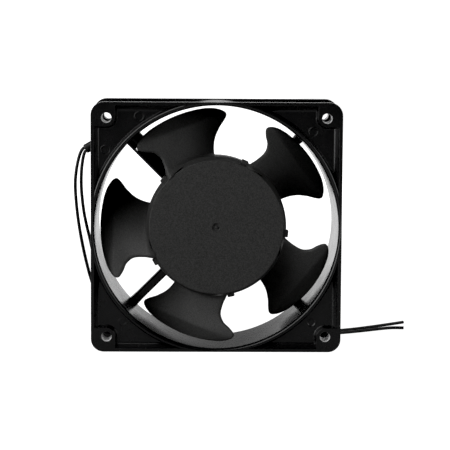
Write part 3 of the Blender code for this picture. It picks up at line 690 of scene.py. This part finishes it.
def make_studio():
    """The world, the floor and the lights. Tones below the black level show as black."""
    settings = bpy.context.scene.view_settings
    settings.view_transform = "Standard"
    settings.use_curve_mapping = True
    settings.curve_mapping.black_level = BLACK_LEVEL
    make_world()
    make_floor()
    for light in LIGHTS:
        area_light(*light)


# ---------------------------------------------------------------- leads


def make_leads(materials, sleeve):
    for name, route in LEAD_ROUTES.items():
        points = smooth_route(route, LEAD_POINTS)
        for place in points:
            place.z = max(place.z, WIRE_REST)
        curve = bpy.data.curves.new(name, "CURVE")
        curve.dimensions = "3D"
        curve.bevel_depth = WIRE_DIAMETER / 2 * MM
        curve.bevel_resolution = WIRE_RESOLUTION
        curve.use_fill_caps = True
        curve.materials.append(materials["vinyl"])
        spline = curve.splines.new("POLY")
        spline.points.add(len(points) - 1)
        for target, place in zip(spline.points, points):
            target.co = (*(place * MM), 1.0)
        spline.use_smooth = True
        lead = bpy.data.objects.new(name + "_insulation", curve)
        bpy.context.collection.objects.link(lead)
        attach(lead, "stator")
        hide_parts(name)


def sweep_frames(route, count):
    """Places along a route, each with the two directions across it."""
    places = [point(*p) for p in smooth_route(route, count)]
    frames = []
    for i, place in enumerate(places):
        along = (places[min(i + 1, count - 1)] - places[max(i - 1, 0)]).normalized()
        side = along.cross(Vector((0, 1, 0))).normalized()
        frames.append((place, side, along.cross(side).normalized()))
    return frames


def oval(place, tall, thick, height, width):
    ring = []
    for i in range(OVAL_STEPS):
        a = 2 * math.pi * i / OVAL_STEPS
        ring.append(place + tall * (height / 2 * MM * math.cos(a)) + thick * (width / 2 * MM * math.sin(a)))
    return ring


def make_sleeve(materials):
    frames = sweep_frames(SLEEVE_ROUTE, SLEEVE_RINGS)
    inside = (SLEEVE_TALL - 2 * SLEEVE_WALL, SLEEVE_THICK - 2 * SLEEVE_WALL)
    outer = [oval(*place, SLEEVE_TALL, SLEEVE_THICK) for place in frames]
    for end in (0, -1):
        outer[end] = oval(*frames[end], SLEEVE_TALL - 2 * SLEEVE_LIP, SLEEVE_THICK - 2 * SLEEVE_LIP)
    inner = [oval(*place, *inside) for place in frames]
    bm = bmesh.new()
    skin(bm, outer + inner[::-1], closed=True)
    sleeve = add_object("lead_sleeving", bm, [materials["vinyl"]])
    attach(sleeve, "stator")
    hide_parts("lead_sleeve")
    return sleeve


# ---------------------------------------------------------------- frame casting


def pocket_outline(inset, pad_radius, lip_radius):
    """Upper right corner pocket: two sides, the round pad of the screw hole and the duct's lip."""
    edge = SIDE / 2 - inset
    hole = HOLE_PITCH / 2
    reach = math.sqrt(lip_radius**2 - edge**2)
    lip_start = math.degrees(math.atan2(edge, reach))
    pad = arc((hole, hole), pad_radius, 270, 180, PAD_STEPS)
    lip = arc((0, 0), lip_radius, lip_start, 90 - lip_start, LIP_STEPS)
    return [(edge, hole - pad_radius), *pad, (hole - pad_radius, edge), *lip]


def pocket_tools():
    """Cutters for the pocket in each corner of both flanges."""
    bm = bmesh.new()
    for side_x, side_z in CORNERS:
        for rear in (False, True):
            rings = []
            for depth, *widths in POCKET_SIDE:
                at = DEPTH - depth if rear else depth
                rings.append([point(side_x * x, at, side_z * z) for x, z in pocket_outline(*widths)])
            skin(bm, rings)
    return bm


def hole_tools():
    """Cutters for the four through holes, each with a small chamfer and a taper from both faces."""
    rear = [(radius, DEPTH - depth) for radius, depth in reversed(HOLE_MOUTH_PROFILE)]
    bm = bmesh.new()
    for center in HOLES:
        turn(bm, [*HOLE_MOUTH_PROFILE, *rear], HOLE_STEPS, closed=False, center=center)
    return bm


def ejector_flash():
    """A thin raised ring of flash round each ejector pin mark on the pocket floors."""
    bm = bmesh.new()
    for x, z, radius, height in EJECTOR_MARKS:
        bead = arc((radius, POCKET_DEPTH + FLASH_SINK), height + FLASH_SINK, *FLASH_ARC, FLASH_STEPS)
        turn(bm, [*bead, (radius, POCKET_DEPTH + FLASH_FOOT)], HOLE_STEPS, center=(x, z))
    return bm


def ejector_recess():
    """A shallow recess inside each ring."""
    bm = bmesh.new()
    for x, z, radius, height in EJECTOR_MARKS:
        inner = radius - height
        profile = (
            (inner, POCKET_DEPTH - RECESS_ABOVE),
            (inner, POCKET_DEPTH + RECESS_EDGE),
            (inner - RECESS_TAPER, POCKET_DEPTH + height),
        )
        turn(bm, profile, HOLE_STEPS, closed=False, center=(x, z))
    return bm


def flange_shape(bm, front, rear):
    edge = round_over(EDGE_ROUND, EDGE_STEPS)
    places = [(front + depth, inset) for depth, inset in edge]
    places += [(rear - depth, inset) for depth, inset in reversed(edge)]
    rings = []
    for depth, inset in places:
        size = SIDE - 2 * inset
        outline = rounded_rectangle(size, size, CORNER_RADIUS - inset, CORNER_STEPS)
        rings.append([point(x, depth, z) for x, z in outline])
    skin(bm, rings)


def barrel():
    """The duct's outside, and a boss behind each flange at each screw hole."""
    bm = bmesh.new()
    turn(bm, ((DUCT_OUTER, BARREL_INSET), (DUCT_OUTER, DEPTH - BARREL_INSET)), DUCT_STEPS, closed=False)
    front = (
        (SCREW_BOSS_RADIUS, BARREL_INSET),
        (SCREW_BOSS_RADIUS, SCREW_BOSS_DEPTH - SCREW_BOSS_CHAMFER),
        (SCREW_BOSS_RADIUS - SCREW_BOSS_CHAMFER, SCREW_BOSS_DEPTH),
    )
    rear = [(radius, DEPTH - depth) for radius, depth in front]
    for center in HOLES:
        for profile in (front, rear):
            turn(bm, profile, HOLE_STEPS, closed=False, center=center)
    return bm


def bore():
    """The duct's inside: a round-nosed mouth in front, a slight taper and a rounded rear edge."""
    quarter = [math.radians(90 * i / MOUTH_STEPS) for i in range(MOUTH_STEPS + 1)]
    mouth = [
        (BORE_FRONT + MOUTH_WIDTH * (1 - math.sin(a)), MOUTH_LENGTH * (1 - math.cos(a)))
        for a in quarter
    ]
    rear = [
        (BORE_REAR + REAR_ROUND * (1 - math.sin(a)), DEPTH - REAR_ROUND * (1 - math.cos(a)))
        for a in reversed(quarter)
    ]
    profile = [(mouth[0][0], -CUT_PAST), *mouth, *rear, (rear[-1][0], DEPTH + CUT_PAST)]
    bm = bmesh.new()
    turn(bm, profile, DUCT_STEPS, closed=False)
    return bm


def bar_ring(reach, width, front, rear, radius, degrees, shift=0.0):
    """Cross-section of a bar that runs out from the axis, at a distance from it."""
    c, s = math.cos(math.radians(degrees)), math.sin(math.radians(degrees))
    middle = (front + rear) / 2
    ring = []
    for across, along in rounded_rectangle(width, rear - front, radius, BAR_STEPS):
        across += shift
        ring.append(point(reach * c - across * s, middle + along, reach * s + across * c))
    return ring


def lead_strut_bar(reaches, width, front, rear, radius, shift=0.0):
    """A straight bar along the wide strut that holds the leads."""
    bm = bmesh.new()
    skin(bm, [bar_ring(reach, width, front, rear, radius, LEAD_STRUT_ANGLE, shift) for reach in reaches])
    return bm


def plain_struts():
    bm = bmesh.new()
    for degrees in STRUT_ANGLES:
        rings = [
            bar_ring(reach, width, STRUT_FRONT, STRUT_REAR, STRUT_ROUND, degrees)
            for reach, width in STRUT_WIDTHS
        ]
        skin(bm, rings)
    return bm


def struts():
    bm = plain_struts()
    rings = [
        bar_ring(reach, LEAD_STRUT_WIDTH, STRUT_FRONT, STRUT_REAR, LEAD_STRUT_ROUND, LEAD_STRUT_ANGLE)
        for reach in LEAD_STRUT_REACHES
    ]
    skin(bm, rings)
    return bm


def mount():
    bm = bmesh.new()
    turn(bm, MOUNT_PROFILE, MOUNT_STEPS)
    return bm


def channel():
    """The groove along the wide strut in which the leads lie."""
    return lead_strut_bar(CHANNEL_REACHES, CHANNEL_WIDTH, CHANNEL_FRONT, CHANNEL_FLOOR, CHANNEL_ROUND)


def drain():
    """The small slot through the channel's floor."""
    front, rear = CHANNEL_FLOOR - CUT_PAST, DEPTH + CUT_PAST
    return lead_strut_bar((DRAIN_INNER, DRAIN_OUTER), DRAIN_WIDTH, front, rear, DRAIN_ROUND, DRAIN_SHIFT)


def in_front_hole(place):
    """Whether a place is on the wall of a screw hole, in front of the gap between the flanges."""
    half = HOLE_PITCH / 2
    reach = math.hypot(abs(place.x - AXIS.x) / MM - half, abs(place.z - AXIS.z) / MM - half)
    return reach < HOLE_MOUTH and place.y < AXIS.y


def make_casting(materials):
    bm = bmesh.new()
    flange_shape(bm, 0.0, FLANGE)
    flange_shape(bm, DEPTH - FLANGE, DEPTH)
    casting = add_object("casting", bm, [])
    steps = (
        (barrel, "UNION"),
        (bore, "DIFFERENCE"),
        (struts, "UNION"),
        (mount, "UNION"),
        (pocket_tools, "DIFFERENCE"),
        (ejector_flash, "UNION"),
        (ejector_recess, "DIFFERENCE"),
        (hole_tools, "DIFFERENCE"),
        (channel, "DIFFERENCE"),
        (drain, "DIFFERENCE"),
    )
    for make_tool, operation in steps:
        boolean(casting, make_tool(), operation)
    finish_solid(casting, [materials["paint"], materials["bare"]], SHARP_ANGLE)
    mesh = casting.data
    # Bare metal goes only on the walls of the front flange's screw holes. The rear flange's hole walls keep
    # the black paint as painted shade: they stay dark where bare metal would catch light from behind.
    for face in mesh.polygons:
        face.material_index = int(all(in_front_hole(mesh.vertices[v].co) for v in face.vertices))
    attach(casting, "stator")
    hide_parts("frame_casting")


# ---------------------------------------------------------------- impeller


def blade_point(radius, degrees, share, lift, rise):
    """A place on a blade's skin: lift is the distance off its middle surface."""
    spot = math.radians(degrees) + lift * math.sin(rise) / radius
    depth = BLADE_LEAD + BLADE_PITCH * degrees - BLADE_CAMBER * 4 * share * (1 - share) ** CAMBER_LEAN
    past = radius * math.cos(math.radians(degrees - TIP_ANGLE)) - TIP_CREASE
    depth += TIP_BEND * max(0.0, past) - lift * math.cos(rise)
    return point(radius * math.cos(spot), depth, -radius * math.sin(spot))


def blade_section(radius, share_out):
    """The ring of a blade's skin at a radius, up its front and back down its rear."""
    leading, trailing = between(BLADE_EDGES, radius)
    rise = math.atan2(BLADE_PITCH * 180 / math.pi, radius)
    half = (ROOT_THICKNESS + (TIP_THICKNESS - ROOT_THICKNESS) * share_out) / 2
    half += FILLET * math.exp(-(radius - FILLET_START) / FILLET_FADE) if radius > FILLET_INSIDE else FILLET
    long = radius * math.radians(trailing - leading)
    front, rear = [], []
    for share in CHORD_SHARES:
        degrees = leading + (trailing - leading) * share
        edge = min(share, 1 - share) * long / half
        thick = half * math.sqrt(max(0.0, 1 - (1 - min(1.0, edge)) ** 2))
        front.append(blade_point(radius, degrees, share, thick, rise))
        rear.append(blade_point(radius, degrees, share, -thick, rise))
    return front + rear[-2:0:-1]


def close_section(bm, row):
    """Fills the end of a blade with a strip of quads from its front to its rear."""
    count = len(row)
    faces = []
    for i in range(len(CHORD_SHARES) - 1):
        corners = [row[i], row[i + 1], row[(count - i - 1) % count], row[(count - i) % count]]
        faces.append(bm.faces.new(list(dict.fromkeys(corners))))
    return faces


def blade(bm, turned):
    about_axis = Matrix.Rotation(-math.radians(turned), 4, "Y")
    spin = Matrix.Translation(AXIS) @ about_axis @ Matrix.Translation(-AXIS)
    first, last = BLADE_EDGES[0][0], BLADE_EDGES[-1][0]
    rows = []
    for i in range(BLADE_ROWS + 1):
        radius = first + (last - first) * (1 - (1 - i / BLADE_ROWS) ** TIP_CROWDING)
        section = blade_section(radius, (radius - first) / (last - first))
        rows.append([bm.verts.new(spin @ place) for place in section])
    faces = []
    for low, high in zip(rows, rows[1:]):
        faces += wrap(bm, low, high)
    for row in (rows[0], rows[-1]):
        faces += close_section(bm, row)
    bmesh.ops.recalc_face_normals(bm, faces=faces)


def blades():
    bm = bmesh.new()
    for k in range(BLADES):
        blade(bm, 360 / BLADES * k)
    return bm


def hub():
    bm = bmesh.new()
    turn(bm, HUB_PROFILE, HUB_STEPS, closed=False)
    return bm


def tabs():
    bm = bmesh.new()
    for k in range(BLADES):
        degrees = 360 / BLADES * k - TAB_ANGLE
        rings = [
            bar_ring(reach, width, TAB_FRONT + cut, TAB_REAR - cut, TAB_ROUND, degrees)
            for reach, width, cut in TAB_SECTIONS
        ]
        skin(bm, rings)
    return bm


def make_impeller(materials):
    impeller = add_object("impeller_moulding", hub(), [])
    boolean(impeller, blades(), "UNION")
    boolean(impeller, tabs(), "UNION")
    finish_solid(impeller, [materials["plastic"]], IMPELLER_SHARP_ANGLE)
    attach(impeller, "rotor")
    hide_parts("impeller")


# ---------------------------------------------------------------- motor


KEPT_NODES = {
    "steel": (
        "preload_washer", "front_outer_race", "rear_outer_race", "front_inner_race", "rear_inner_race",
        "front_ball_set", "rear_ball_set", "rotor_cup", "shaft", "shaft_clip",
    ),
    "laminated": ("stator_core", "rotor_laminations"),
    "aluminium": ("rotor_bush", "rotor_front_end_ring", "rotor_rear_end_ring"),
    "brass": ("bearing_tube", "thrust_washer"),
    "copper": (
        "coil_1", "coil_2", "coil_3", "coil_4",
        "shading_ring_1", "shading_ring_2", "shading_ring_3", "shading_ring_4",
    ),
    "nylon": ("bobbin_1", "bobbin_2", "bobbin_3", "bobbin_4"),
    "label": ("rear_label",),
    "plastic": ("bearing_cap",),
    "vinyl": ("inner_lead_a", "inner_lead_b"),
}


def paint_kept_nodes(materials):
    """Gives each CAD node that stays its material, and shades it smooth where it is round."""
    for key, names in KEPT_NODES.items():
        for name in names:
            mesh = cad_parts[name].data
            mesh.materials.clear()
            mesh.materials.append(materials[key])
            shade(mesh, SHARP_ANGLE)


make_camera()
MATERIALS = make_materials()
make_leads(MATERIALS, make_sleeve(MATERIALS))
make_casting(MATERIALS)
make_impeller(MATERIALS)
paint_kept_nodes(MATERIALS)
make_studio()
